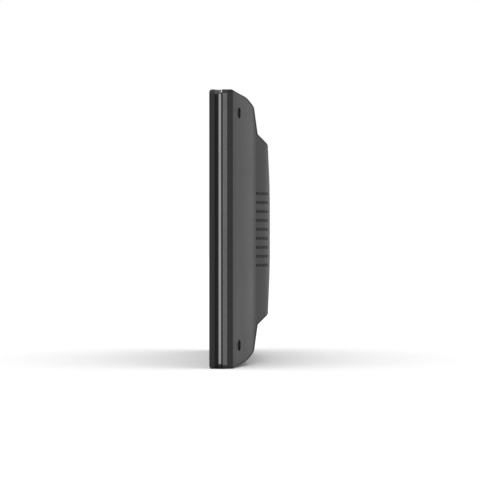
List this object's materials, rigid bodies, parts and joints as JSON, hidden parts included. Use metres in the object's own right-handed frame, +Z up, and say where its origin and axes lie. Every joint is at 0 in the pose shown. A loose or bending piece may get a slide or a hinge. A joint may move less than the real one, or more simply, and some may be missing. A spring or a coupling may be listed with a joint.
{
  "type": "radar detector",
  "caption": "Slim in-vehicle display unit with a domed back: screen, rear speaker grilles, radar, laser and satellite receivers inside, press buttons on top.",
  "frame": {"origin": "middle of the bottom of the whole box, where the unit stands on its bottom edge", "axes": "+X across the screen, -Y is the way the screen faces and +Y the domed back, +Z up"},
  "size_m": [0.182, 0.025, 0.112],
  "materials": {
    "bezel_plastic": "satin black",
    "screen_glass": "glossy, black masked edge",
    "foam": "matte",
    "panel_glass": "glossy",
    "light_guide": "satin",
    "tray_steel": "satin",
    "frame_plastic": "matte",
    "trim_satin": "satin",
    "cover_plastic": "fine moulded grain",
    "screw_black": "black oxide",
    "insert_brass": "satin",
    "window_dark": "glossy",
    "sensor_dark": "glossy",
    "board_green": "solder mask",
    "screw_steel": "satin",
    "can_steel": "satin",
    "spreader_aluminium": "satin",
    "antenna_board": "matte",
    "ceramic_tan": "matte",
    "socket_black": "matte",
    "cell_steel": "satin",
    "capacitor_can": "satin",
    "socket_steel": "satin",
    "plug_white": "matte",
    "ribbon_amber": "satin",
    "basket_plastic": "matte",
    "magnet_steel": "satin",
    "cone_film": "satin",
    "cloth_black": "woven",
    "lead_black": "matte",
    "button_plastic": "fine moulded grain",
    "plunger_grey": "matte"
  },
  "bodies": {
    "unit": {"front_bezel": "bezel_plastic", "cover_glass": "screen_glass", "screen_gasket": "foam", "lcd_panel": "panel_glass", "backlight": "light_guide", "lcd_tray": "tray_steel", "mid_frame": "frame_plastic", "trim_ring": "trim_satin", "rear_cover": "cover_plastic", "cover_screws": "screw_black", "mount_inserts": "insert_brass", "laser_window": "window_dark", "laser_sensor": "sensor_dark", "main_board": "board_green", "board_screws": "screw_steel", "speaker_screws": "screw_steel", "button_board_screws": "screw_steel", "processor_shield": "can_steel", "heat_spreader": "spreader_aluminium", "radar_shield": "can_steel", "radar_antenna": "antenna_board", "gps_antenna": "ceramic_tan", "battery_holder": "socket_black", "backup_cell": "cell_steel", "capacitors": "capacitor_can", "usb_socket": "socket_steel", "card_socket": "socket_steel", "display_plug": "plug_white", "display_ribbon": "ribbon_amber", "button_plug": "plug_white", "button_ribbon": "ribbon_amber", "button_board": "board_green", "speaker_basket_right": "basket_plastic", "speaker_magnet_right": "magnet_steel", "speaker_gasket_right": "foam", "grille_cloth_right": "cloth_black", "speaker_lead_right": "lead_black", "speaker_basket_left": "basket_plastic", "speaker_magnet_left": "magnet_steel", "speaker_gasket_left": "foam", "grille_cloth_left": "cloth_black", "speaker_lead_left": "lead_black", "volume_down_switch": "socket_black", "volume_up_switch": "socket_black", "power_switch": "socket_black"},
    "volume_down": {"volume_down_button": "button_plastic", "volume_down_plunger": "plunger_grey"},
    "volume_up": {"volume_up_button": "button_plastic", "volume_up_plunger": "plunger_grey"},
    "power": {"power_button": "button_plastic", "power_plunger": "plunger_grey"},
    "cone_left": {"speaker_cone_left": "cone_film"},
    "cone_right": {"speaker_cone_right": "cone_film"}
  },
  "joints": [
    {"name": "volume_down_press", "type": "slide", "parent": "unit", "child": "volume_down", "axis": [0, 0, -1], "range_m": [0, 0.0003], "stiffness_N_per_m": 800, "springref_m": -0.0003},
    {"name": "volume_up_press", "type": "slide", "parent": "unit", "child": "volume_up", "axis": [0, 0, -1], "range_m": [0, 0.0003], "stiffness_N_per_m": 800, "springref_m": -0.0003},
    {"name": "power_press", "type": "slide", "parent": "unit", "child": "power", "axis": [0, 0, -1], "range_m": [0, 0.0003], "stiffness_N_per_m": 800, "springref_m": -0.0003},
    {"name": "cone_left_stroke", "type": "slide", "parent": "unit", "child": "cone_left", "axis": [0, 1, 0], "range_m": [-0.0003, 0.0003], "stiffness_N_per_m": 1500},
    {"name": "cone_right_stroke", "type": "slide", "parent": "unit", "child": "cone_right", "axis": [0, 1, 0], "range_m": [-0.0003, 0.0003], "stiffness_N_per_m": 1500}
  ]
}
